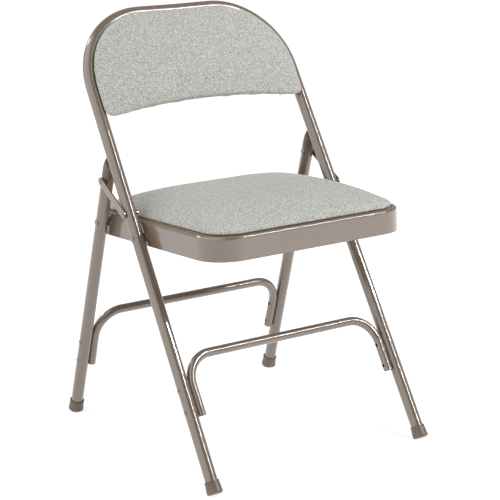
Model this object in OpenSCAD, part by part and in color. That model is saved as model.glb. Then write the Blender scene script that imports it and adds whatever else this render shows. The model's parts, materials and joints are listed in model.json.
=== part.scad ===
// Padded steel folding chair.
// The front legs and the back hoop are one bent tube. The seat, the rear legs and the two hinge
// links fold on four pivots a side: seat on front tube, seat on rear leg, link on front tube and
// link on rear leg.
// X runs across the chair, -Y is the front and +Z is up. The origin is on the floor, in the middle.

/* [Tubes] */
// Outside diameter of the leg and hoop tube
tube_d = 22.2; // [21:0.1:22.4]
// Wall of the leg and hoop tube
tube_wall = 1.2; // [1:0.1:1.6]
// Outside diameter of the cross brace tube
brace_d = 15.9; // [14:0.1:16]
// Wall of the cross brace tube
brace_wall = 1; // [0.8:0.1:1.4]

/* [Stance] */
// From the middle of the chair to the front feet, along Y
front_reach = 241.5; // [241.3:0.05:241.7]
// From the middle of the chair to the rear feet, along Y
rear_reach = 239; // [238.8:0.05:239.2]
// From the middle of the chair to a foot, along X
track = 221.7; // [221.5:0.1:224]
// Lean of each side tube towards the middle, as the sine of its angle
splay_slope = 0.01; // [0.008:0.001:0.012]
// Lean of the front tube back from upright, in degrees
front_lean = 32.6; // [32.5:0.1:32.7]
// Lean of the rear legs forward from upright, in degrees
rear_lean = 15.9; // [15.8:0.1:16]
// Length of the front frame up its slope, to the centre of the top bar
hoop_height = 877; // [873:0.5:885]
// Bend radius of the hoop's two corners, at the centre of the tube
hoop_bend = 137; // [130:1:142]

/* [Cross braces] */
// Up the front slope to the centre of the front brace's bar
front_brace_top = 237.4; // [225:0.1:245]
// Up the front slope to the ends of the front brace
front_brace_end = 134.5; // [130:0.5:140]
// Up the rear slope to the centre of the rear brace's bar
rear_brace_top = 210; // [200:0.5:215]
// Up the rear slope to the ends of the rear brace
rear_brace_end = 101.8; // [98:0.1:106]
// Bend radius of both braces, at the centre of the tube
brace_bend = 50; // [40:1:55]

/* [Pivots] */
// Height of the pivot between seat and front tube
seat_pivot_z = 385; // [384.8:0.1:385.2]
// Height of the pivot between seat and rear leg
leg_pivot_z = 388; // [387.8:0.1:388.2]
// Height of the pivot between link and front tube
link_pivot_z = 423.85; // [423.6:0.05:424.1]
// Height of the pivot between link and rear leg
head_pivot_z = 468; // [467.8:0.1:468.2]
// Shank diameter of the eight pivot rivets
pivot_d = 8; // [7:0.1:8]
// Gap on each side of a shank that turns in its hole
pivot_play = 0.1; // [0.05:0.01:0.1]

/* [Seat] */
// Half the width of the seat pan
pan_half = 203; // [202:0.1:203.2]
// From the seat pivot forward to the pan's front face
pan_front = 222.3; // [215:0.1:224]
// From the seat pivot back to the pan's rear face
pan_rear = 172; // [166:0.5:174]
// Depth of the pan's skirt
pan_height = 42; // [40:0.5:44]
// Drop of the seat pivot below the pan's top lip
pan_above_pivot = 28; // [27:0.5:29]
// Slope of the seat down to the rear, in degrees
seat_slope = 4; // [3.5:0.1:4.5]
// Radius of the pan's front corners
front_corner = 56; // [50:1:60]
// Radius of the pan's rear corners
rear_corner = 30; // [28:1:34]
// Height of the seat pad at its middle
pad_height = 46; // [40:1:48]

/* [Back] */
// Radius of the back panel's curve, seen from above
back_curve = 1600; // [1500:10:1800]
// Radius of the back pad's front face, seen from above
pad_curve = 4000; // [3000:100:4400]
// Up the front slope to the middle of the back's lower edge
back_bottom = 698.5; // [696:0.5:704]
// From the tube's centre plane forward to the middle of the back pad's face
back_pad_front = 15.5; // [15:0.5:20]

/* [Caps] */
// Length of a foot cap up its leg
foot_cap_length = 22; // [20:0.5:26]
// Largest radius of a foot cap
foot_cap_r = 14; // [13.5:0.1:14.2]
// Length of a rear leg's top cap above the tube
leg_cap_length = 42; // [36:0.5:44]

/* [Hidden] */
$fn = 72;

frame_paint = [0.66, 0.60, 0.56];
cap_plastic = [0.47, 0.41, 0.35];
fabric = [0.77, 0.78, 0.75];
bare_steel = [0.72, 0.71, 0.69];
board_wood = [0.76, 0.62, 0.44];

over = 1; // how far a cutting shape runs past what it cuts
splay = asin(splay_slope);
tube_r = tube_d / 2;
shell = 1.2; // thickness of every pressed sheet
tube_start = 11; // bottom end of each leg tube, up its own slope
rear_tube_end = 494; // top end of a rear leg tube, up its own slope

link_gap = 1.4; // from the tubes' outer sides to the hinge links
link_thick = 2.5;
link_width = 14;
head_r = 6; // radius of a pivot rivet's head
head_h = 2.2;
thin_d = 5; // shank of a brace rivet
thin_head_r = 4.2;
thin_head_h = 1.6;
flat_head = 1.6; // thickness of every rivet's inner head
inside_curve = 1; // a flat head stands this far off the curved inside of its tube
access_d = 6.5; // hole through which a brace rivet's inner head is set
drain_d = 4.5;
touch = 0.05; // gap between parts that are pressed together

// Slope lengths of the pivots and of the brace rivets, up their own tube
seat_pivot_s = seat_pivot_z / cos(front_lean);
link_pivot_s = link_pivot_z / cos(front_lean);
leg_pivot_s = leg_pivot_z / cos(rear_lean);
head_pivot_s = head_pivot_z / cos(rear_lean);
front_rivet_s = [front_brace_end + 10, front_brace_end + 49];
rear_rivet_s = [rear_brace_end + 11.5, rear_brace_end + 51];

// Y of the seat pivot, and the rear pivot seen from it in the seat's own frame
seat_pivot_y = -front_reach + seat_pivot_z * tan(front_lean);
reach_y = rear_reach - leg_pivot_z * tan(rear_lean) - seat_pivot_y;
reach_z = leg_pivot_z - seat_pivot_z;
leg_pivot_v = reach_y * cos(seat_slope) - reach_z * sin(seat_slope);
leg_pivot_w = reach_y * sin(seat_slope) + reach_z * cos(seat_slope);

// X of a side tube's centre, a slope length up from the floor
function side_x(s) = track - s * tan(splay);
// X of the inner face of both links
link_x = side_x(link_pivot_s) + tube_r + link_gap;

bead_r = 5; // rolled lip of the pan
hem = 7; // flange under the pan's skirt
plate_drop = 8; // from the lip down to the plate that carries the board
lip_w = pan_above_pivot;
floor_w = lip_w - pan_height;
plate_w = lip_w - plate_drop;
lip_inner = 2 * bead_r;
board_gap = 1;
pad_inset = lip_inner - 2;
pad_lift = 0.4;
pad_edge = 26; // height of the pad at its edges
screw_d = 4;
screw_head_h = 1.8;
seat_screw_at = [[-120, -130], [120, -130], [-120, 95], [120, 95]];

back_set = 11; // rear face of the back panel behind the tube's centre, at the middle of its lower edge
back_tilt = 2.7; // the panel comes forward to the tube's plane as it rises, in degrees
board_thick = 4;
back_screw_x = 120;
back_screw_s = [735, 810];
back_top_gap = 1; // between the back panel and the inside of the hoop
back_corner = 14; // lower corners of the panel, board and pad
back_arch = 1250; // radius of the back's lower edge
panel_rise = 4; // from the pad's lower edge up to the panel's and the board's

// ---------------------------------------------------------------- places

module on_front() {
    translate([0, -front_reach, 0]) rotate([-front_lean, 0, 0]) children();
}

module on_rear() {
    translate([0, rear_reach, 0]) rotate([rear_lean, 0, 0]) children();
}

module on_seat() {
    translate([0, seat_pivot_y, seat_pivot_z]) rotate([-seat_slope, 0, 0]) children();
}

module right() {
    children();
}

module left() {
    mirror([1, 0, 0]) children();
}

module both() {
    right() children();
    left() children();
}

// ---------------------------------------------------------------- shared shapes

// One straight length along the right side line, between two slope lengths
module side_rod(d, s0, s1, inset = 0) {
    translate([side_x(s0) - inset, 0, s0]) rotate([0, -splay, 0])
        cylinder(d = d, h = (s1 - s0) / cos(splay));
}

// Right half of a hoop, solid: a leg, a quarter bend and half the bar, all leaning in by one angle
module half_hoop(d, foot_x, s_end, s_top, bend, lean) {
    corner_s = s_top - bend;
    intersection() {
        translate([foot_x - corner_s * tan(lean), 0, corner_s]) rotate([0, -lean, 0]) {
            translate([0, 0, s_end - corner_s]) cylinder(d = d, h = corner_s - s_end);
            translate([-bend, 0, 0]) rotate([90, 0, 0])
                rotate_extrude(angle = 90) translate([bend, 0]) circle(d = d);
            translate([-bend, 0, bend]) rotate([0, -90, 0]) cylinder(d = d, h = foot_x);
        }
        translate([0, -d, s_end - d]) cube([foot_x + d, 2 * d, s_top + d]);
    }
}

module hoop_tube(d, wall, foot_x, s_end, s_top, bend, lean) {
    both() difference() {
        half_hoop(d, foot_x, s_end, s_top, bend, lean);
        half_hoop(d - 2 * wall, foot_x, s_end - over, s_top, bend, lean);
    }
}

// A bore along X through both sides of the frame
module cross_bore(d, s) {
    translate([-track - tube_d, 0, s]) rotate([0, 90, 0]) cylinder(d = d, h = 2 * track + 2 * tube_d);
}

// A shallow dome with its flat side at the origin, facing +X
module dome_head(r, h) {
    ball = (r * r + h * h) / (2 * h);
    rotate([0, 90, 0]) intersection() {
        translate([0, 0, h - ball]) sphere(r = ball);
        cylinder(r = r, h = h);
    }
}

module x_rod(d, x0, x1) {
    translate([x0, 0, 0]) rotate([0, 90, 0]) cylinder(d = d, h = x1 - x0);
}

// A rivet along X with a dome outside and a flat head inside
module rivet(d, x_in, x_out, r_in, r_out, h) {
    x_rod(d, x_in - flat_head, x_out + h / 2);
    x_rod(2 * r_in, x_in - flat_head, x_in);
    translate([x_out, 0, 0]) dome_head(r_out, h);
}

// ---------------------------------------------------------------- front frame

module front_frame() {
    color(frame_paint) on_front() difference() {
        hoop_tube(tube_d, tube_wall, track, tube_start, hoop_height, hoop_bend, splay);
        cross_bore(pivot_d, seat_pivot_s);
        cross_bore(pivot_d, link_pivot_s);
        for (s = front_rivet_s) cross_bore(thin_d, s);
    }
}

// Cross brace with rivet holes outside, access holes inside and a drain hole under each bend
module brace(s_end, s_top, rivets) {
    foot_x = side_x(s_top - brace_bend) - tube_r - brace_d / 2 - touch;
    drain_x = foot_x - brace_bend;
    difference() {
        hoop_tube(brace_d, brace_wall, foot_x, s_end, s_top, brace_bend, 0);
        for (s = rivets) {
            cross_bore(thin_d, s);
            both() translate([foot_x - brace_d, 0, s]) x_rod(access_d, 0, brace_d);
        }
        both() translate([drain_x, 0, s_top - brace_d]) cylinder(d = drain_d, h = brace_d);
    }
}

module front_brace() {
    color(frame_paint) on_front() brace(front_brace_end, front_brace_top, front_rivet_s);
}

// Each rivet clamps the leg's outer side to the brace's outer wall
module brace_rivets(slopes) {
    for (s = slopes) {
        x_out = side_x(s) + tube_r + touch;
        x_in = side_x(slopes[1]) - tube_r - brace_wall - inside_curve;
        both() translate([0, 0, s])
            rivet(thin_d, x_in, x_out, thin_head_r - 1, thin_head_r, thin_head_h);
    }
}

module front_brace_rivets() {
    color(bare_steel) on_front() brace_rivets(front_rivet_s);
}

// Slip-on foot: a flared cup with a rolled rim, trimmed flat where it meets the floor
module foot_cap() {
    drop = 1.5;
    edge = 3;
    neck_r = tube_r + 1.5;
    rim = 0.9;
    translate([side_x(0), 0, drop]) rotate([0, -splay, 0]) difference() {
        rotate_extrude() {
            square([foot_cap_r - edge, edge + over]);
            translate([foot_cap_r - edge, edge]) circle(r = edge, $fn = 32);
            polygon([[0, edge], [foot_cap_r, edge], [neck_r, foot_cap_length - 2 * rim],
                     [neck_r, foot_cap_length], [0, foot_cap_length]]);
            translate([neck_r, foot_cap_length - rim]) circle(r = rim, $fn = 32);
        }
        translate([0, 0, tube_start - drop]) cylinder(r = tube_r + touch, h = foot_cap_length);
    }
}

module above_floor() {
    intersection() {
        children();
        translate([-track * 2, -track * 2, 0]) cube([track * 4, track * 4, track]);
    }
}

module front_foot_cap_right() {
    color(cap_plastic) above_floor() on_front() right() foot_cap();
}

module front_foot_cap_left() {
    color(cap_plastic) above_floor() on_front() left() foot_cap();
}

// Seat pivot rivets, fixed in the front tube; the seat turns on them
module seat_pivot_rivets() {
    x_out = side_x(seat_pivot_s) + tube_r + touch;
    color(bare_steel) on_front() both() translate([0, 0, seat_pivot_s])
        rivet(pivot_d, pan_half - shell - 0.3, x_out, head_r, head_r, head_h);
}

// Link pivot rivets, fixed in the front tube; the links turn on them
module link_pivot_rivets() {
    x_in = side_x(link_pivot_s) - tube_r - touch;
    color(bare_steel) on_front() both() translate([0, 0, link_pivot_s])
        rivet(pivot_d, x_in, link_x + link_thick + 0.15, head_r, head_r, head_h);
}

// ---------------------------------------------------------------- back

// The space inside the hoop, less a margin, as an outline across the slope; lower edge arched
module back_outline(margin, low) {
    r = hoop_bend - margin;
    centre_s = hoop_height - hoop_bend * (1 + splay_slope);
    centre_x = side_x(centre_s) - hoop_bend;
    half = side_x(back_bottom) - margin;
    foot = low - half * half / (2 * back_arch) + 1;
    intersection() {
        union() {
            translate([-centre_x, centre_s - over]) square([2 * centre_x, r + over]);
            for (side = [-1, 1]) translate([side * centre_x, centre_s]) circle(r = r, $fn = 180);
            translate([-half, foot + back_corner]) square([2 * half, centre_s - foot - back_corner]);
            for (side = [-1, 1]) translate([side * (half - back_corner), foot + back_corner])
                circle(r = back_corner);
            translate([-half + back_corner, foot]) square([2 * half - 2 * back_corner, 2 * back_corner]);
        }
        difference() {
            translate([-track, foot - over]) square([2 * track, hoop_height]);
            translate([0, low - back_arch]) circle(r = back_arch, $fn = 360);
        }
    }
}

// Everything in front of an upright cylinder face whose middle is at depth y
module before_curve(radius, y, tilt) {
    translate([0, y, back_bottom]) rotate([tilt, 0, 0]) translate([0, -radius, -track])
        cylinder(r = radius, h = 3 * track, $fn = 720);
}

module back_slab(margin, low) {
    rotate([90, 0, 0]) translate([0, 0, -track / 4]) linear_extrude(track / 2)
        back_outline(margin, low);
}

// A sheet bent to the back's curve, between two depths at the middle of its lower edge
module back_sheet(margin, low, y_front, y_rear) {
    difference() {
        intersection() {
            back_slab(margin, low);
            before_curve(back_curve, y_rear, back_tilt);
        }
        before_curve(back_curve, y_front, back_tilt);
    }
}

module back_screw_places() {
    for (s = back_screw_s) both() {
        depth = back_set - back_screw_x * back_screw_x / (2 * back_curve)
            - (s - back_bottom) * tan(back_tilt);
        translate([back_screw_x, depth, s]) rotate([back_tilt, 0, -asin(back_screw_x / back_curve)])
            children();
    }
}

module back_panel() {
    color(frame_paint) on_front() difference() {
        back_sheet(tube_r + back_top_gap, back_bottom + panel_rise, back_set - shell, back_set);
        back_screw_places() rotate([90, 0, 0]) cylinder(d = screw_d, h = 4 * shell, center = true);
    }
}

module back_board() {
    rear = back_set - shell - touch;
    color(board_wood) on_front() difference() {
        back_sheet(tube_r + 3, back_bottom + panel_rise, rear - board_thick, rear);
        back_screw_places() rotate([90, 0, 0]) cylinder(d = screw_d, h = 2 * board_thick);
    }
}

// The pad fills the hoop in front of its board, and its rim laps the front of the tube
module back_pad() {
    rear = back_set - shell - board_thick - 2 * touch;
    rim_gap = 0.4;
    color(fabric) on_front() difference() {
        union() {
            intersection() {
                back_slab(tube_r + 3, back_bottom);
                before_curve(back_curve, rear, back_tilt);
            }
            intersection() {
                back_slab(2, back_bottom - 1);
                translate([-track, -tube_r - rim_gap - track, 0]) cube([2 * track, track, 2 * hoop_height]);
            }
        }
        before_curve(pad_curve, -back_pad_front, 0);
    }
}

module back_screws() {
    color(bare_steel) on_front() back_screw_places() translate([0, touch, 0]) {
        rotate([90, 0, 0]) cylinder(d = screw_d - 2 * touch, h = board_thick + touch);
        rotate([0, 0, 90]) dome_head(screw_d, screw_head_h);
    }
}

// ---------------------------------------------------------------- seat

// The pan's plan outline, inset by a margin; x across and y back from the seat pivot
module pan_outline(inset) {
    rf = front_corner - inset;
    rr = rear_corner - inset;
    x_front = pan_half - front_corner;
    x_rear = pan_half - rear_corner;
    y_front = -pan_front + front_corner;
    y_rear = pan_rear - rear_corner;
    for (side = [-1, 1]) {
        translate([side * x_front, y_front]) circle(r = rf);
        translate([side * x_rear, y_rear]) circle(r = rr);
    }
    translate([-x_front, y_front - rf]) square([2 * x_front, rf + over]);
    translate([-x_rear, y_rear - over]) square([2 * x_rear, rr + over]);
    translate([-pan_half + inset, y_front]) square([2 * (pan_half - inset), y_rear - y_front]);
}

// Section of the pan's edge: skirt, rolled lip and hem; x outward from the outer face, y up
module skirt_section() {
    translate([-shell, floor_w]) square([shell, pan_height - bead_r]);
    translate([-hem, floor_w]) square([hem, shell]);
    difference() {
        translate([-bead_r, lip_w - bead_r]) circle(r = bead_r, $fn = 48);
        translate([-bead_r, lip_w - bead_r]) circle(r = bead_r - shell, $fn = 48);
        translate([-2 * bead_r - over, lip_w - 3 * bead_r]) square([2 * bead_r + 2 * over, 2 * bead_r]);
    }
    translate([-lip_inner, plate_w]) square([shell, plate_drop - bead_r]);
}

module skirt_run(length) {
    rotate([90, 0, 0]) translate([0, 0, -length]) linear_extrude(length) skirt_section();
}

module skirt_corner(r) {
    rotate_extrude(angle = 90) translate([r, 0]) skirt_section();
}

module seat_pan() {
    x_front = pan_half - front_corner;
    x_rear = pan_half - rear_corner;
    y_front = -pan_front + front_corner;
    y_rear = pan_rear - rear_corner;
    color(frame_paint) on_seat() difference() {
        union() {
            both() {
                translate([pan_half, y_front, 0]) skirt_run(y_rear - y_front);
                translate([x_rear, y_rear, 0]) skirt_corner(rear_corner);
                translate([x_front, y_front, 0]) rotate([0, 0, -90]) skirt_corner(front_corner);
            }
            translate([x_rear, pan_rear, 0]) rotate([0, 0, 90]) skirt_run(2 * x_rear);
            translate([-x_front, -pan_front, 0]) rotate([0, 0, -90]) skirt_run(2 * x_front);
            translate([0, 0, plate_w]) linear_extrude(shell) pan_outline(lip_inner - shell / 2);
        }
        x_rod(pivot_d + 2 * pivot_play, -pan_half - over, pan_half + over);
        translate([0, leg_pivot_v, leg_pivot_w]) x_rod(pivot_d, -pan_half - over, pan_half + over);
        for (p = seat_screw_at) translate([p[0], p[1], plate_w - over]) cylinder(d = screw_d, h = 4);
    }
}

module seat_board() {
    color(board_wood) on_seat() difference() {
        translate([0, 0, plate_w + shell + touch]) linear_extrude(plate_drop - shell)
            pan_outline(lip_inner + board_gap);
        for (p = seat_screw_at) translate([p[0], p[1], plate_w]) cylinder(d = screw_d, h = 6);
    }
}

module seat_pad() {
    crown = pad_height - pad_edge;
    mid_y = (pan_rear - pan_front) / 2;
    half_y = (pan_rear + pan_front) / 2;
    curve_x = (pan_half * pan_half + crown * crown) / (2 * crown);
    curve_y = (half_y * half_y + crown * crown) / (2 * crown);
    color(fabric) on_seat() translate([0, 0, lip_w + pad_lift]) intersection() {
        linear_extrude(pad_height) pan_outline(pad_inset);
        translate([0, -pan_front, pad_height - curve_x]) rotate([-90, 0, 0])
            cylinder(r = curve_x, h = pan_front + pan_rear, $fn = 360);
        translate([-pan_half, mid_y, pad_height - curve_y]) rotate([0, 90, 0])
            cylinder(r = curve_y, h = 2 * pan_half, $fn = 360);
    }
}

module seat_screws() {
    color(bare_steel) on_seat() for (p = seat_screw_at) translate([p[0], p[1], plate_w - touch]) {
        cylinder(d = screw_d - 2 * touch, h = 6);
        rotate([0, 90, 0]) dome_head(screw_d, screw_head_h);
    }
}

// Ring between the pan's side and a leg tube
module spacer(gap) {
    difference() {
        x_rod(2 * pivot_d, pan_half + touch, pan_half + touch + gap);
        x_rod(pivot_d + 2 * pivot_play, pan_half - over, pan_half + gap + over);
    }
}

module seat_pivot_spacers() {
    gap = side_x(seat_pivot_s) - tube_r - pan_half - 0.4;
    color(bare_steel) on_seat() both() spacer(gap);
}

module leg_pivot_spacers() {
    gap = side_x(leg_pivot_s) - tube_r - pan_half - 0.4;
    color(bare_steel) on_seat() both() translate([0, leg_pivot_v, leg_pivot_w]) spacer(gap);
}

// Leg pivot rivets, fixed in the pan; the rear legs turn on them
module leg_pivot_rivets() {
    x_out = side_x(leg_pivot_s) + tube_r + 0.3;
    color(bare_steel) on_seat() both() translate([0, leg_pivot_v, leg_pivot_w])
        rivet(pivot_d, pan_half - shell - touch, x_out, head_r, head_r, head_h);
}

// ---------------------------------------------------------------- rear legs

module rear_leg() {
    on_rear() difference() {
        side_rod(tube_d, tube_start, rear_tube_end);
        side_rod(tube_d - 2 * tube_wall, tube_start - over, rear_tube_end + over);
        cross_bore(pivot_d + 2 * pivot_play, leg_pivot_s);
        cross_bore(pivot_d, head_pivot_s);
        for (s = rear_rivet_s) cross_bore(thin_d, s);
    }
}

module rear_leg_right() {
    color(frame_paint) right() rear_leg();
}

module rear_leg_left() {
    color(frame_paint) left() rear_leg();
}

module rear_brace() {
    color(frame_paint) on_rear() brace(rear_brace_end, rear_brace_top, rear_rivet_s);
}

module rear_brace_rivets() {
    color(bare_steel) on_rear() brace_rivets(rear_rivet_s);
}

// Rivets through the top of the rear legs; their outer half rides on the links
module leg_head_rivets() {
    x_in = side_x(head_pivot_s) - tube_r - touch;
    color(bare_steel) on_rear() both() translate([0, 0, head_pivot_s]) {
        x_rod(pivot_d, x_in - head_h / 2, side_x(head_pivot_s) + tube_r - tube_wall / 2);
        translate([x_in, 0, 0]) mirror([1, 0, 0]) dome_head(head_r, head_h);
    }
}

module rear_foot_cap_right() {
    color(cap_plastic) above_floor() on_rear() right() foot_cap();
}

module rear_foot_cap_left() {
    color(cap_plastic) above_floor() on_rear() left() foot_cap();
}

// Bullet-shaped plug in the top of a rear leg, flat where it passes behind the front tube
module rear_leg_cap() {
    collar = 15;
    tip = leg_cap_length - collar;
    steps = 12;
    plug_depth = 3;
    clear = 0.6;
    cap_r = tube_r + 0.2;
    profile = concat([[0, 0], [cap_r, 0], [cap_r, collar]],
        [for (i = [1:steps - 1]) [cap_r * cos(90 * i / steps), collar + tip * sin(90 * i / steps)]],
        [[0, leg_cap_length]]);
    difference() {
        on_rear() translate([side_x(rear_tube_end), 0, rear_tube_end + touch]) rotate([0, -splay, 0]) {
            rotate_extrude() polygon(profile);
            translate([0, 0, -plug_depth]) cylinder(r = tube_r - tube_wall - touch, h = plug_depth + over);
        }
        on_front() translate([0, tube_r + clear - track, seat_pivot_s]) cube([2 * track, track, track]);
    }
}

module rear_leg_cap_right() {
    color(cap_plastic) right() rear_leg_cap();
}

module rear_leg_cap_left() {
    color(cap_plastic) left() rear_leg_cap();
}

// ---------------------------------------------------------------- hinge links

// Angle and length of a link, from the front tube's pivot up to the rear leg's
link_dy = front_reach + rear_reach - head_pivot_z * tan(rear_lean) - link_pivot_z * tan(front_lean);
link_dz = head_pivot_z - link_pivot_z;
link_angle = atan2(link_dz, link_dy);
link_length = sqrt(link_dy * link_dy + link_dz * link_dz);

module on_link() {
    translate([0, -front_reach + link_pivot_z * tan(front_lean), link_pivot_z])
        rotate([link_angle, 0, 0]) children();
}

module hinge_link() {
    on_link() difference() {
        union() {
            x_rod(link_width, link_x, link_x + link_thick);
            translate([0, link_length, 0]) x_rod(link_width, link_x, link_x + link_thick);
            translate([link_x, 0, -link_width / 2]) cube([link_thick, link_length, link_width]);
        }
        x_rod(pivot_d + 2 * pivot_play, link_x - over, link_x + link_thick + over);
        translate([0, link_length, 0]) x_rod(pivot_d, link_x - over, link_x + link_thick + over);
    }
}

module hinge_link_right() {
    color(frame_paint) right() hinge_link();
}

module hinge_link_left() {
    color(frame_paint) left() hinge_link();
}

// Outer half of the rivet at a rear leg's top, fixed in the link
module link_head_rivet() {
    x_face = side_x(head_pivot_s) + tube_r + 0.4;
    on_link() translate([0, link_length, 0]) {
        x_rod(pivot_d, x_face, link_x + link_thick + head_h / 2);
        x_rod(2 * head_r, x_face, link_x - touch);
        translate([link_x + link_thick + touch, 0, 0]) dome_head(head_r, head_h);
    }
}

module link_head_rivet_right() {
    color(bare_steel) right() link_head_rivet();
}

module link_head_rivet_left() {
    color(bare_steel) left() link_head_rivet();
}

// ---------------------------------------------------------------- drawing

front_frame();
front_brace();
front_brace_rivets();
front_foot_cap_left();
front_foot_cap_right();
seat_pivot_rivets();
link_pivot_rivets();
back_panel();
back_board();
back_pad();
back_screws();
seat_pan();
seat_board();
seat_pad();
seat_screws();
seat_pivot_spacers();
leg_pivot_spacers();
leg_pivot_rivets();
rear_leg_left();
rear_leg_right();
rear_brace();
rear_brace_rivets();
leg_head_rivets();
rear_foot_cap_left();
rear_foot_cap_right();
rear_leg_cap_left();
rear_leg_cap_right();
hinge_link_left();
hinge_link_right();
link_head_rivet_left();
link_head_rivet_right();
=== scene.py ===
import json
import math

import bmesh
import bpy
import numpy as np
from mathutils import Matrix, Vector


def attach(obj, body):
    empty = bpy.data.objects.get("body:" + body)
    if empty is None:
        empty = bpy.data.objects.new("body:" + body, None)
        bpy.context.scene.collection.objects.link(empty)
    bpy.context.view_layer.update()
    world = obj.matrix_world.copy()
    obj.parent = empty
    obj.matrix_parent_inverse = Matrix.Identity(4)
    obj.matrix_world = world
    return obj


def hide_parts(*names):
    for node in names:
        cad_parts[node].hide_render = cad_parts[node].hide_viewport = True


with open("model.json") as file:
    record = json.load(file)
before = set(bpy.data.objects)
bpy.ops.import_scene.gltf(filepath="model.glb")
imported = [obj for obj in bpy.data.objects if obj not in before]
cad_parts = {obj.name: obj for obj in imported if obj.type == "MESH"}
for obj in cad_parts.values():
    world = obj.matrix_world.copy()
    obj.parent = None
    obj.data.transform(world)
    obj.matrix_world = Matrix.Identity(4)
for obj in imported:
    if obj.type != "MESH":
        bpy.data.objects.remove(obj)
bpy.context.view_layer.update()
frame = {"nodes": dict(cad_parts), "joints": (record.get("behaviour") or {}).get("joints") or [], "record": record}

MM = 0.001

# The chair's own planes, from its packed joints
JOINTS = {j["name"]: Vector(j["pos_m"]) for j in frame["joints"]}
SEAT_PIVOT = JOINTS["seat_fold"]
LINK_PIVOT = JOINTS["link_left_fold"]
FRONT_LEAN = math.atan2(LINK_PIVOT.y - SEAT_PIVOT.y, LINK_PIVOT.z - SEAT_PIVOT.z)
SEAT_SLOPE = math.radians(4)


# ---------------------------------------------------------------- camera, floor and light

def look_at(obj, place, target):
    obj.location = place
    obj.rotation_euler = (Vector(target) - Vector(place)).to_track_quat("-Z", "Y").to_euler()


CAMERA_AT = (-1.624, -2.3862, 1.129)
CAMERA_TARGET = (0, -0.01885, 0.33614)
LENS_MM = 120.27
FLOOR_HALF = 200
FLOOR_DROP = 0.2 * MM  # keeps the floor just clear of the feet

# Directions that lamps come from
LEG_LAMP = (0.431, -0.63, 0.645)
CROSS_LAMP = (0.54, -0.58, 0.607)
RIM_LAMP = (-0.25, 0.795, 0.53)
KEY_LAMP = (-0.86, 0.1, 0.5)
LEG_LINE = (0.01, 0.539, 0.842)  # the way that the front legs run
DIM_SIDE = (-0.56, -0.82, 0.1)  # the side of the room that the pan's near corner faces
DIM_RANGE = (0.3, 0.95, 0.36, 0.06)  # from and to: how far towards it, and the room's strength

RANGE_SOCKETS = ("From Min", "From Max", "To Min", "To Max")


def make_camera():
    data = bpy.data.cameras.new("camera")
    data.lens = LENS_MM
    data.sensor_width = 36
    data.clip_end = 1000
    cam = bpy.data.objects.new("camera", data)
    bpy.context.scene.collection.objects.link(cam)
    look_at(cam, CAMERA_AT, CAMERA_TARGET)
    bpy.context.scene.camera = cam


def make_floor():
    mesh = bpy.data.meshes.new("floor")
    bm = bmesh.new()
    bmesh.ops.create_grid(bm, x_segments=2, y_segments=2, size=FLOOR_HALF)
    bm.to_mesh(mesh)
    bm.free()
    floor = bpy.data.objects.new("floor", mesh)
    floor.location.z = -FLOOR_DROP
    bpy.context.scene.collection.objects.link(floor)
    mat = bpy.data.materials.new("floor")
    mat.use_nodes = True
    shader = mat.node_tree.nodes["Principled BSDF"]
    shader.inputs["Base Color"].default_value = (0.5, 0.5, 0.5, 1)
    shader.inputs["Roughness"].default_value = 0.8
    shader.inputs["Specular IOR Level"].default_value = 0
    shader.inputs["Emission Color"].default_value = (1, 1, 1, 1)
    shader.inputs["Emission Strength"].default_value = 0.7
    mesh.materials.append(mat)


def make_sun(name, direction, strength, angle):
    data = bpy.data.lights.new(name, "SUN")
    data.energy = strength
    data.angle = math.radians(angle)
    lamp = bpy.data.objects.new(name, data)
    bpy.context.scene.collection.objects.link(lamp)
    look_at(lamp, Vector(direction) * 5, (0, 0, 0))


def make_strip(name, direction, along, width, length, radiance, distance=4):
    """A long thin lamp, which draws one crisp line down every tube that lies along it."""
    data = bpy.data.lights.new(name, "AREA")
    data.shape = "RECTANGLE"
    data.size = width
    data.size_y = length
    data.energy = radiance * math.pi * width * length
    lamp = bpy.data.objects.new(name, data)
    bpy.context.scene.collection.objects.link(lamp)
    back = Vector(direction).normalized()
    side = Vector(along).cross(back).normalized()
    turn = Matrix((side, back.cross(side), back)).transposed()
    lamp.matrix_world = Matrix.Translation(back * distance) @ turn.to_4x4()


def make_studio():
    scene = bpy.context.scene
    scene.view_settings.view_transform = "Standard"
    scene.view_settings.look = "None"
    world = bpy.data.worlds.new("studio")
    world.use_nodes = True
    tree = world.node_tree
    back = tree.nodes["Background"]
    where = tree.nodes.new("ShaderNodeTexCoord")
    facing = tree.nodes.new("ShaderNodeVectorMath")
    facing.operation = "DOT_PRODUCT"
    facing.inputs[1].default_value = DIM_SIDE
    tree.links.new(where.outputs["Generated"], facing.inputs[0])
    dim = tree.nodes.new("ShaderNodeMapRange")
    for key, number in zip(RANGE_SOCKETS, DIM_RANGE):
        dim.inputs[key].default_value = number
    tree.links.new(facing.outputs["Value"], dim.inputs["Value"])
    tree.links.new(dim.outputs["Result"], back.inputs["Strength"])
    back.inputs["Color"].default_value = (1, 1, 1, 1)
    scene.world = world
    make_strip("leg_strip", LEG_LAMP, LEG_LINE, 0.1, 1.7, 95)
    make_strip("brace_strip", CROSS_LAMP, (1, 0, 0), 0.12, 1.3, 85)
    make_sun("rim", RIM_LAMP, 0.3, 8)
    make_sun("key", KEY_LAMP, 2.3, 100)


# ---------------------------------------------------------------- node helpers

def tint(colour, gain, lift=0.0):
    """A colour made lighter or darker, held below white."""
    return tuple(min(1, c * gain + lift) for c in colour)


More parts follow.
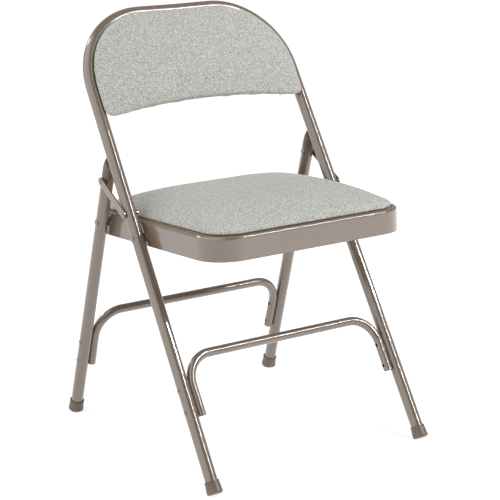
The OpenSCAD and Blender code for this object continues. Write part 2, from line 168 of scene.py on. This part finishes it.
class Graph:
    """Short calls for building a shader's nodes."""

    def __init__(self, name):
        self.mat = bpy.data.materials.new(name)
        self.mat.use_nodes = True
        self.tree = self.mat.node_tree
        self.shader = self.tree.nodes["Principled BSDF"]
        self.where = self.node("ShaderNodeTexCoord").outputs["Object"]

    def node(self, kind, **props):
        made = self.tree.nodes.new(kind)
        for key, value in props.items():
            setattr(made, key, value)
        return made

    def put(self, socket, value):
        if isinstance(value, bpy.types.NodeSocket):
            self.tree.links.new(value, socket)
        elif isinstance(value, (tuple, list)) and len(value) == 3 and socket.type == "RGBA":
            socket.default_value = (*value, 1)
        else:
            socket.default_value = value

    def noise(self, scale, detail=2.0, rough=0.5, where=None, distortion=0.0):
        n = self.node("ShaderNodeTexNoise")
        self.put(n.inputs["Vector"], where or self.where)
        n.inputs["Scale"].default_value = scale
        n.inputs["Detail"].default_value = detail
        n.inputs["Roughness"].default_value = rough
        n.inputs["Distortion"].default_value = distortion
        return n.outputs["Fac"]

    def stretch(self, scale):
        m = self.node("ShaderNodeMapping")
        self.put(m.inputs["Vector"], self.where)
        m.inputs["Scale"].default_value = scale
        return m.outputs["Vector"]

    def voronoi(self, scale):
        n = self.node("ShaderNodeTexVoronoi", feature="F1")
        self.put(n.inputs["Vector"], self.where)
        n.inputs["Scale"].default_value = scale
        return n.outputs["Distance"]

    def math(self, operation, a, b=0.0):
        n = self.node("ShaderNodeMath", operation=operation)
        for socket, value in zip(n.inputs, (a, b)):
            self.put(socket, value)
        return n.outputs[0]

    def remap(self, value, lo, hi, out_lo, out_hi):
        n = self.node("ShaderNodeMapRange")
        self.put(n.inputs["Value"], value)
        for key, number in zip(RANGE_SOCKETS, (lo, hi, out_lo, out_hi)):
            n.inputs[key].default_value = number
        return n.outputs["Result"]

    def mix(self, factor, a, b, blend="MIX"):
        n = self.node("ShaderNodeMix", data_type="RGBA", blend_type=blend)
        self.put(n.inputs[0], factor)
        self.put(n.inputs[6], a)
        self.put(n.inputs[7], b)
        return n.outputs[2]

    def bump(self, height, strength, distance, under=None):
        n = self.node("ShaderNodeBump")
        n.inputs["Strength"].default_value = strength
        n.inputs["Distance"].default_value = distance
        self.put(n.inputs["Height"], height)
        if under is not None:
            self.put(n.inputs["Normal"], under)
        return n.outputs["Normal"]

    def split(self, vector):
        n = self.node("ShaderNodeSeparateXYZ")
        self.put(n.inputs[0], vector)
        return n.outputs

    def set(self, **values):
        for key, value in values.items():
            self.put(self.shader.inputs[key.replace("_", " ")], value)
        return self.mat


# ---------------------------------------------------------------- materials

def enamel(name, colour, rough=0.3):
    """Gloss enamel over steel: a fine orange-peel skin, faint clouding and a few dull scuffs."""
    g = Graph(name)
    cloud = g.remap(g.noise(9, 3), 0.3, 0.7, 0.0, 1.0)
    fine = g.remap(g.noise(420, 2), 0.35, 0.65, 0.0, 1.0)
    base = g.mix(cloud, tint(colour, 0.93), tint(colour, 1.07))
    base = g.mix(g.math("MULTIPLY", fine, 0.12), base, tint(colour, 0.8))
    scuff_lines = g.noise(60, 5, 0.65, where=g.stretch((1, 1, 5)))
    scuff_places = g.remap(g.noise(14, 2), 0.55, 0.7, 0, 1)
    scuff = g.math("MULTIPLY", g.remap(scuff_lines, 0.66, 0.76, 0, 1), scuff_places)
    base = g.mix(g.math("MULTIPLY", scuff, 0.15), base, tint(colour, 1.15, 0.02))
    roughness = g.math("ADD", g.remap(g.noise(30, 4), 0.3, 0.7, rough - 0.04, rough + 0.06),
                       g.math("MULTIPLY", scuff, 0.06))
    peel = g.bump(g.noise(650, 1.5), 0.06, 0.0002)
    peel = g.bump(g.noise(70, 2), 0.03, 0.0005, under=peel)
    return g.set(Base_Color=base, Roughness=roughness, Normal=peel, Specular_IOR_Level=0.5,
                 Coat_Weight=1.0, Coat_Roughness=0.03, Coat_IOR=1.8)


def plastic(name, colour, rough=0.42):
    """Moulded plastic with a fine grain and rubbed, paler patches."""
    g = Graph(name)
    grain = g.noise(900, 2)
    rub = g.remap(g.noise(70, 4, 0.6), 0.52, 0.7, 0, 1)
    cloud = g.remap(g.noise(25, 2), 0.3, 0.7, 0, 1)
    base = g.mix(cloud, tint(colour, 0.85), tint(colour, 1.12))
    base = g.mix(g.math("MULTIPLY", rub, 0.25), base, tint(colour, 1.5, 0.02))
    roughness = g.remap(g.noise(45, 3), 0.3, 0.7, rough - 0.06, rough + 0.08)
    return g.set(Base_Color=base, Roughness=roughness, Normal=g.bump(grain, 0.2, 0.0003),
                 Specular_IOR_Level=0.5)


def steel(name, colour):
    """Zinc-plated steel with a soft spangle and fine turning lines."""
    g = Graph(name)
    spangle = g.voronoi(260)
    base = g.mix(g.remap(spangle, 0.1, 0.7, 0, 1), tint(colour, 0.85), colour)
    lines = g.noise(500, 2, where=g.stretch((1, 1, 6)))
    roughness = g.remap(g.noise(80, 3), 0.3, 0.7, 0.26, 0.42)
    return g.set(Base_Color=base, Metallic=0.9, Roughness=roughness,
                 Normal=g.bump(lines, 0.15, 0.0002))


def fibreboard(name, colour):
    """Pressed board: short fibres lying all ways, with darker flecks."""
    g = Graph(name)
    fibres = g.noise(320, 5, 0.7, where=g.stretch((1, 3.5, 1)), distortion=0.6)
    cross = g.noise(260, 5, 0.7, where=g.stretch((3.5, 1, 1)), distortion=0.6)
    both = g.math("MAXIMUM", fibres, cross)
    base = g.mix(g.remap(both, 0.45, 0.72, 0, 1), tint(colour, 0.7), tint(colour, 1.15))
    return g.set(Base_Color=base, Roughness=0.85, Normal=g.bump(both, 0.4, 0.0004),
                 Specular_IOR_Level=0.25)


YARN_PITCH = 1.7 * MM
SIDE_FACING = 0.72  # how squarely cloth has to face sideways to count as a side


def heather(name, pale, deep, fleck):
    """Upholstery in a plain weave of mixed yarns, laid by the side that the cloth faces."""
    g = Graph(name)
    facing = g.node("ShaderNodeTexCoord").outputs["Normal"]
    nx, ny, _ = g.split(facing)
    px, py, pz = g.split(g.where)
    side_x = g.math("GREATER_THAN", g.math("ABSOLUTE", nx), SIDE_FACING)
    side_y = g.math("GREATER_THAN", g.math("ABSOLUTE", ny), SIDE_FACING)
    # across and along the cloth, by the side of the cushion that it lies on
    u = g.math("ADD", g.math("MULTIPLY", px, g.math("SUBTRACT", 1.0, side_x)),
               g.math("MULTIPLY", py, side_x))
    flat = g.math("SUBTRACT", 1.0, g.math("MAXIMUM", side_x, side_y))
    v = g.math("ADD", g.math("MULTIPLY", py, flat),
               g.math("MULTIPLY", pz, g.math("SUBTRACT", 1.0, flat)))
    pitch = 2 * math.pi / YARN_PITCH
    wobble = g.math("MULTIPLY", g.noise(240, 2), 1.6)
    warp = g.math("SINE", g.math("ADD", g.math("MULTIPLY", u, pitch), wobble))
    weft = g.math("SINE", g.math("ADD", g.math("MULTIPLY", v, pitch), wobble))
    over = g.math("MULTIPLY", warp, weft)
    ridges = g.math("ADD", g.math("ABSOLUTE", warp), g.math("ABSOLUTE", weft))
    weave = g.math("ADD", over, g.math("MULTIPLY", ridges, 0.5))
    slubs = g.noise(860, 1, 0.6)
    flecks = g.noise(760, 1, 0.7)
    mottle = g.noise(120, 3, 0.6)
    base = g.mix(g.remap(flecks, 0.45, 0.55, 0, 1), deep, pale)
    base = g.mix(g.remap(slubs, 0.54, 0.6, 0, 0.8), base, fleck)
    dark_yarn = g.noise(640, 1, 0.6, where=g.stretch((1.3, 1, 1.2)))
    base = g.mix(g.remap(dark_yarn, 0.56, 0.62, 0, 0.7), base, tint(deep, 0.6))
    base = g.mix(g.remap(mottle, 0.35, 0.65, 0, 0.12), base, tint(deep, 0.86))
    base = g.mix(g.remap(over, -1, 1, 0.0, 0.22), base, tint(pale, 1.12))
    normal = g.bump(weave, 0.6, 0.0004)
    normal = g.bump(slubs, 0.6, 0.0006, under=normal)
    normal = g.bump(g.noise(45, 2), 0.12, 0.002, under=normal)
    return g.set(Base_Color=base, Roughness=0.92, Normal=normal, Specular_IOR_Level=0.2,
                 Sheen_Weight=0.25, Sheen_Roughness=0.5, Sheen_Tint=(0.95, 0.96, 0.94))


MATERIALS = {
    "frame_enamel": enamel("frame_enamel", (0.148, 0.106, 0.074)),
    "rivet_steel": enamel("rivet_enamel", (0.165, 0.122, 0.09), 0.3),
    "screw_steel": steel("screw_steel", (0.6, 0.59, 0.56)),
    "foot_cap": plastic("foot_cap", (0.135, 0.1, 0.072)),
    "leg_cap": plastic("leg_cap", (0.14, 0.108, 0.068)),
    "board": fibreboard("board", (0.42, 0.29, 0.17)),
    "upholstery": heather("upholstery", pale=(0.625, 0.63, 0.577), deep=(0.19, 0.193, 0.17),
                          fleck=(0.9, 0.9, 0.86)),
}


def paint_cad_nodes():
    for part in frame["record"]["subparts"]:
        obj = frame["nodes"][part["node"]]
        obj.data.materials.clear()
        obj.data.materials.append(MATERIALS[part["material_slot"]])


# ---------------------------------------------------------------- cushions

def outline_points(parts, step=4 * MM):
    """A closed outline of points from ("line", a, b) and ("arc", centre, r, from, to) parts."""
    points = []
    for part in parts:
        if part[0] == "line":
            a, b = Vector(part[1]), Vector(part[2])
            n = max(1, round((b - a).length / step))
            points += [a.lerp(b, i / n) for i in range(n)]
        else:
            _, centre, r, start, end = part
            n = max(3, round(abs(end - start) * r / step))
            for i in range(n):
                angle = start + (end - start) * i / n
                x, y = centre[0] + r * math.cos(angle), centre[1] + r * math.sin(angle)
                points.append(Vector((x, y)))
    return points


def loft(rings):
    """A closed mesh through rings of the same count of points, capped by a fan at each end."""
    bm = bmesh.new()
    loops = [[bm.verts.new(p) for p in ring] for ring in rings]
    count = len(rings[0])
    for low, high in zip(loops, loops[1:]):
        for i in range(count):
            j = (i + 1) % count
            bm.faces.new((low[i], low[j], high[j], high[i]))
    for loop, turn in ((loops[0], -1), (loops[-1], 1)):
        middle = bm.verts.new(sum((v.co for v in loop), Vector()) / count)
        for i in range(count):
            j = (i + 1) % count
            bm.faces.new((loop[i], loop[j], middle) if turn > 0 else (loop[j], loop[i], middle))
    bmesh.ops.recalc_face_normals(bm, faces=bm.faces)
    return bm


def to_object(bm, name):
    mesh = bpy.data.meshes.new(name)
    bm.to_mesh(mesh)
    bm.free()
    obj = bpy.data.objects.new(name, mesh)
    bpy.context.scene.collection.objects.link(obj)
    return obj


def apply_modifiers(obj):
    evaluated = obj.evaluated_get(bpy.context.evaluated_depsgraph_get())
    mesh = bpy.data.meshes.new_from_object(evaluated)
    obj.modifiers.clear()
    old = obj.data
    obj.data = mesh
    mesh.name = obj.name
    bpy.data.meshes.remove(old)


def coords(obj):
    co = np.empty(len(obj.data.vertices) * 3)
    obj.data.vertices.foreach_get("co", co)
    return co.reshape(-1, 3)


def set_coords(obj, co):
    obj.data.vertices.foreach_set("co", co.ravel())
    obj.data.update()


def remesh(obj, voxel):
    mod = obj.modifiers.new("remesh", "REMESH")
    mod.mode = "VOXEL"
    mod.voxel_size = voxel
    mod.use_smooth_shade = True
    apply_modifiers(obj)


def smooth(obj, times, weight=None):
    """Laplacian smoothing in plain numbers; weight from 0 to 1 a point holds some points still."""
    co = coords(obj)
    edges = np.empty(len(obj.data.edges) * 2, dtype=np.int64)
    obj.data.edges.foreach_get("vertices", edges)
    a, b = edges.reshape(-1, 2).T
    degree = np.bincount(np.concatenate((a, b)), minlength=len(co))[:, None]
    w = 1.0 if weight is None else weight[:, None]
    for _ in range(times):
        total = np.zeros_like(co)
        np.add.at(total, a, co[b])
        np.add.at(total, b, co[a])
        co = co + 0.5 * w * (total / degree - co)
    set_coords(obj, co)


PRESSURE = 2.0
FRAMES = 20


def inflate(obj, pinned, cap):
    """Swells a cushion by cloth simulation; pinned points stay, and none moves more than cap."""
    before = coords(obj)
    group = obj.vertex_groups.new(name="pin")
    group.add([int(i) for i in np.nonzero(pinned)[0]], 1.0, "REPLACE")
    mod = obj.modifiers.new("cloth", "CLOTH")
    settings = mod.settings
    settings.quality = 6
    settings.mass = 0.3
    settings.tension_stiffness = 15
    settings.compression_stiffness = 15
    settings.shear_stiffness = 5
    settings.bending_stiffness = 0.6
    settings.use_pressure = True
    settings.uniform_pressure_force = PRESSURE
    settings.vertex_group_mass = "pin"
    settings.effector_weights.gravity = 0
    mod.collision_settings.use_collision = False
    mod.collision_settings.use_self_collision = False
    mod.point_cache.frame_start = 1
    mod.point_cache.frame_end = FRAMES
    scene = bpy.context.scene
    for f in range(1, FRAMES + 1):
        scene.frame_set(f)
    apply_modifiers(obj)
    scene.frame_set(1)
    obj.vertex_groups.clear()
    after = coords(obj)
    move = after - before
    length = np.linalg.norm(move, axis=1, keepdims=True)
    scale = np.minimum(1, cap / np.maximum(length, 1e-9))
    set_coords(obj, before + move * scale)


def finish_cushion(obj, slot_name, body, node):
    """Refines a cushion once, gives it its material, hides the CAD part that it replaces and hangs it on the body
    that it rides on.
    """
    mod = obj.modifiers.new("finer", "SUBSURF")
    mod.levels = 1
    mod.render_levels = 1
    apply_modifiers(obj)
    for polygon in obj.data.polygons:
        polygon.use_smooth = True
    obj.data.materials.clear()
    obj.data.materials.append(MATERIALS[slot_name])
    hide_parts(node)
    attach(obj, body)


# Seat pad: everything in the seat's own plane, x across and v back from the seat pivot, w up
PAN_HALF = 203 * MM
PAN_FRONT = 222.3 * MM
PAN_REAR = 172 * MM
FRONT_CORNER = 56 * MM
REAR_CORNER = 30 * MM
LIP = 28 * MM
SEAT_PLANE = Matrix.Translation(SEAT_PIVOT) @ Matrix.Rotation(-SEAT_SLOPE, 4, "X")


def pan_ring(inset):
    """The pan's outline inset by a margin, as parts for outline_points."""
    half = PAN_HALF - inset
    rf, rr = FRONT_CORNER - inset, REAR_CORNER - inset
    xf, xr = PAN_HALF - FRONT_CORNER, PAN_HALF - REAR_CORNER
    vf, vr = -PAN_FRONT + FRONT_CORNER, PAN_REAR - REAR_CORNER
    q = math.pi / 2
    return [
        ("line", (-xf, vf - rf), (xf, vf - rf)),
        ("arc", (xf, vf), rf, -q, 0),
        ("line", (half, vf), (half, vr)),
        ("arc", (xr, vr), rr, 0, q),
        ("line", (xr, vr + rr), (-xr, vr + rr)),
        ("arc", (-xr, vr), rr, q, 2 * q),
        ("line", (-half, vr), (-half, vf)),
        ("arc", (-xf, vf), rf, 2 * q, 3 * q),
    ]


def outward_normals(points):
    """The way out of a closed outline at each of its points."""
    count = len(points)
    made = []
    for i in range(count):
        along = (points[(i + 1) % count] - points[i - 1]).normalized()
        made.append(Vector((along.y, -along.x)))
    return made


MID_V = (PAN_REAR - PAN_FRONT) / 2
HALF_V = (PAN_REAR + PAN_FRONT) / 2
PAD_INSET = 5.8 * MM
SIDE_SHARE = 0.981  # the cushion stands a little further in from the lip at its two sides
EDGE_HEIGHT = 14 * MM
EDGE_RUN = 60 * MM  # how far in the rounded edge reaches
CROWN_HEIGHT = 29.5 * MM
CROWN_POWER_X, CROWN_POWER_V = 4.6, 2.55  # a higher power keeps the crown level further out
CROWN_SHIFT = 10 * MM  # the crown is highest this far in front of the middle
CROWN_OVERRUN = 8 * MM
SKIN = 1.5 * MM  # left for the swelling of the cushion
# inset and height of each ring: a flat underside, then a soft bulge over the lip
SEAT_EDGE = ((14, 0.5), (4, 0.5), (0.8, 0.7), (-0.9, 2.4), (-1.5, 4.6), (-1.2, 7), (0.2, 9.6))
SEAT_SHOULDER = (3, 6, 10, 15, 20)
SEAT_SHARES = (0.95, 0.88, 0.8, 0.7, 0.6, 0.5, 0.4, 0.3, 0.2, 0.1)
SEAT_VOXEL = 5 * MM
SEAT_SWELL = 3 * MM
SEAT_PINNED = 2.2 * MM  # points up to this far above the lip stay still


def seat_height(x, v):
    """Height of the finished cushion above the lip: a rounded edge and a crown over it."""
    half_x, half_v = PAN_HALF - PAD_INSET, HALF_V - PAD_INSET
    x = x / SIDE_SHARE
    corner = (FRONT_CORNER if v < MID_V else REAR_CORNER) - PAD_INSET
    qx, qv = abs(x) - (half_x - corner), abs(v - MID_V) - (half_v - corner)
    inside = corner - min(max(qx, qv), 0) - math.hypot(max(qx, 0), max(qv, 0))
    t = min(1.0, max(0.0, inside / EDGE_RUN))
    edge = EDGE_HEIGHT * math.sqrt(1 - (1 - t) ** 2)
    a = min(1.0, abs(x) / half_x)
    b = min(1.0, abs(v - MID_V + CROWN_SHIFT) / (half_v + CROWN_OVERRUN))
    return edge + CROWN_HEIGHT * (1 - a ** CROWN_POWER_X) * (1 - b ** CROWN_POWER_V)


def make_seat_pad():
    base = outline_points(pan_ring(PAD_INSET))
    normals = outward_normals(base)
    rings = []
    for inset, height in SEAT_EDGE:
        ring = []
        for p, n in zip(base, normals):
            q = p - n * inset * MM
            ring.append(Vector((q.x * SIDE_SHARE, q.y, LIP + height * MM)))
        rings.append(ring)
    for inset in SEAT_SHOULDER:
        ring = []
        least = (9 + inset * 0.35) * MM
        for p, n in zip(base, normals):
            q = p - n * inset * MM
            q.x *= SIDE_SHARE
            ring.append(Vector((q.x, q.y, LIP + max(seat_height(q.x, q.y), least))))
        rings.append(ring)
    last = rings[-1]
    for share in SEAT_SHARES:
        ring = []
        for p in last:
            x, v = p.x * share, MID_V + (p.y - MID_V) * share
            ring.append(Vector((x, v, LIP + seat_height(x, v) - SKIN)))
        rings.append(ring)
    obj = to_object(loft(rings), "seat_cushion")
    remesh(obj, SEAT_VOXEL)
    smooth(obj, 2)
    inflate(obj, coords(obj)[:, 2] < LIP + SEAT_PINNED, SEAT_SWELL)
    co = coords(obj)
    hold = np.clip((co[:, 2] - LIP - 2 * MM) / (4 * MM), 0, 1)
    smooth(obj, 8, hold)
    pucker_seat(obj)
    obj.data.transform(SEAT_PLANE)
    finish_cushion(obj, "upholstery", "seat", "seat_pad")


PUCKER_HEIGHT = 34 * MM  # the pulls end this far above the lip, and the tucks half as far again
PULL_DEPTH = 0.22 * MM
TUCK_DEPTH = 1.5 * MM
TUCK_SPREAD = 0.62


def pucker_seat(obj):
    """Short pulls where the cloth is drawn under the edge, and longer tucks round each corner."""
    co = coords(obj)
    height = (co[:, 2] - LIP) / PUCKER_HEIGHT
    band = np.clip(1 - height, 0, 1) ** 1.3 * np.clip(height / 0.1, 0, 1)
    angle = np.arctan2((co[:, 1] - MID_V) / HALF_V, co[:, 0] / PAN_HALF)
    out = np.stack((np.cos(angle), np.sin(angle), np.full(len(co), 0.25)), axis=1)
    pulls = np.sin(angle * 61 + 1.7 * np.sin(angle * 7)) + 0.5 * np.sin(angle * 97 + 2)
    depth = PULL_DEPTH * band * pulls
    for sx, sv in ((-1, -1), (1, -1), (-1, 1), (1, 1)):
        radius = REAR_CORNER if sv > 0 else FRONT_CORNER
        cx = sx * (PAN_HALF - radius)
        cv = PAN_REAR - radius if sv > 0 else -PAN_FRONT + radius
        dx, dv = (co[:, 0] - cx) * sx, (co[:, 1] - cv) * sv
        around = np.arctan2(dv, dx) - math.pi / 4
        away = np.hypot(dx, dv)
        inside = np.exp(-(around / TUCK_SPREAD) ** 2)
        reach = np.clip((away - 0.25 * radius) / (0.6 * radius), 0, 1) ** 1.5
        tucks = np.cos(around * 17 + sx * 0.7) + 0.45 * np.cos(around * 31 + sv)
        fade = np.clip(1.15 - height * 0.75, 0, 1)
        depth = depth + TUCK_DEPTH * inside * reach * tucks * fade
    co += out * depth[:, None]
    set_coords(obj, co)


# Back pad: in the front frame's plane, x across, y behind and s up the slope
TUBE_R = 11.1 * MM
HOOP_TOP = 877 * MM
HOOP_BEND = 137 * MM
TRACK = 221.7 * MM
SPLAY_SLOPE = 0.01
SPLAY = math.asin(SPLAY_SLOPE)
BACK_LOW = 697 * MM
BACK_ARCH = 1000 * MM
ARCH_STEPS = 90
PAD_FACE = 17.5 * MM  # from the tube's centre plane forward to the middle of the cushion's face
PAD_CURVE = 5600 * MM
FACE_CROWN = 1.6 * MM
FACE_HALF = 90 * MM
REAR_CURVE = 1600 * MM
REAR_SET = 5.2 * MM
REAR_TILT = math.radians(2.7)
PLUG_REACH = 14 * MM  # forward of the tube's centre plane
# inset of each ring, and its share of the way from the tube's front to the cushion's face
BACK_EDGE = ((9, 0.0), (1.6, 0.0), (0.0, 0.12), (-0.8, 0.38), (-0.2, 0.64), (1.8, 0.84),
             (5, 0.96), (10, 1.0))
BACK_SHARES = (0.96, 0.9, 0.8, 0.7, 0.6, 0.5, 0.4, 0.3, 0.2, 0.1)
BACK_VOXEL = 4 * MM
BACK_SWELL = 4 * MM
BACK_PINNED = 1.5 * MM  # points up to this far in front of the rim stay still
FOOT_Y = SEAT_PIVOT.y - SEAT_PIVOT.z * math.tan(FRONT_LEAN)
FRONT_PLANE = Matrix.Translation((0, FOOT_Y, 0)) @ Matrix.Rotation(-FRONT_LEAN, 4, "X")


def arch(x):
    """Drop of the back's lower edge away from its middle."""
    return x * x / (2 * BACK_ARCH)


def back_outline(margin, corner):
    """Outline inside the hoop, as (x, s) points: along the arched lower edge, then round."""
    centre_s = HOOP_TOP - HOOP_BEND * (1 + SPLAY_SLOPE)
    centre_x = TRACK - centre_s * math.tan(SPLAY) - HOOP_BEND
    r = HOOP_BEND - margin
    half = TRACK - BACK_LOW * math.tan(SPLAY) - margin
    q = math.pi / 2
    run = half - corner
    foot = BACK_LOW - arch(run) + corner
    tilt = math.atan(run / BACK_ARCH)
    across = [-run + 2 * run * i / ARCH_STEPS for i in range(ARCH_STEPS)]
    lower = [Vector((x, BACK_LOW - arch(x))) for x in across]
    rest = outline_points([
        ("arc", (run, foot), corner, -q - tilt, 0),
        ("line", (half, foot), (centre_x + r, centre_s)),
        ("arc", (centre_x, centre_s), r, 0, q),
        ("line", (centre_x, centre_s + r), (-centre_x, centre_s + r)),
        ("arc", (-centre_x, centre_s), r, q, 2 * q),
        ("line", (-centre_x - r, centre_s), (-half, foot)),
        ("arc", (-run, foot), corner, 2 * q, 3 * q + tilt),
    ])
    return lower + rest


PAD_MID_S = (BACK_LOW + HOOP_TOP) / 2


def back_face(x, s):
    """Depth of the cushion's front face: hollow across, gently crowned up and down."""
    t = (s - PAD_MID_S) / FACE_HALF
    return -PAD_FACE - x * x / (2 * PAD_CURVE) + FACE_CROWN * t * t


def back_rear(x, s):
    """Depth of the cushion's rear face, which follows the curved board behind it."""
    return REAR_SET - x ** 2 / (2 * REAR_CURVE) - (s - BACK_LOW) * math.tan(REAR_TILT)


def scaled(ring, share):
    """An outline drawn in towards the middle of the back."""
    return [Vector((p.x * share, PAD_MID_S + (p.y - PAD_MID_S) * share)) for p in ring]


def make_back_pad():
    rim = -TUBE_R - 0.5 * MM
    base = back_outline(2 * MM, 14 * MM)
    normals = outward_normals(base)
    rings = []
    for inset, share in BACK_EDGE:
        flat = [p - n * inset * MM for p, n in zip(base, normals)]
        rings.append([Vector((p.x, rim + (back_face(p.x, p.y) - rim) * share, p.y)) for p in flat])
    for share in BACK_SHARES:
        rings.append([Vector((p.x, back_face(p.x, p.y), p.y)) for p in scaled(flat, share)])
    front = loft(rings)
    # a plug that fills the hoop behind the front part
    inner = back_outline(TUBE_R + 3.5 * MM, 12 * MM)
    rings = []
    for share in (0.1, 0.3, 0.5, 0.7, 0.9, 1):
        rings.append([Vector((p.x, back_rear(p.x, p.y), p.y)) for p in scaled(inner, share)])
    for share in (1, 0.9, 0.6, 0.3, 0.1):
        rings.append([Vector((p.x, -PLUG_REACH, p.y)) for p in scaled(inner, share)])
    plug = to_object(loft(rings), "back_plug")
    obj = to_object(front, "back_cushion")
    bm = bmesh.new()
    bm.from_mesh(obj.data)
    bm.from_mesh(plug.data)
    bm.to_mesh(obj.data)
    bm.free()
    bpy.data.objects.remove(plug)
    remesh(obj, BACK_VOXEL)
    smooth(obj, 2)
    inflate(obj, coords(obj)[:, 1] > rim - BACK_PINNED, BACK_SWELL)
    co = coords(obj)
    smooth(obj, 6, np.clip((rim - 1 * MM - co[:, 1]) / (3 * MM), 0, 1))
    obj.data.transform(FRONT_PLANE)
    finish_cushion(obj, "upholstery", "front_frame", "back_pad")


# ---------------------------------------------------------------- all of it

make_camera()
make_floor()
make_studio()
paint_cad_nodes()
make_seat_pad()
make_back_pad()
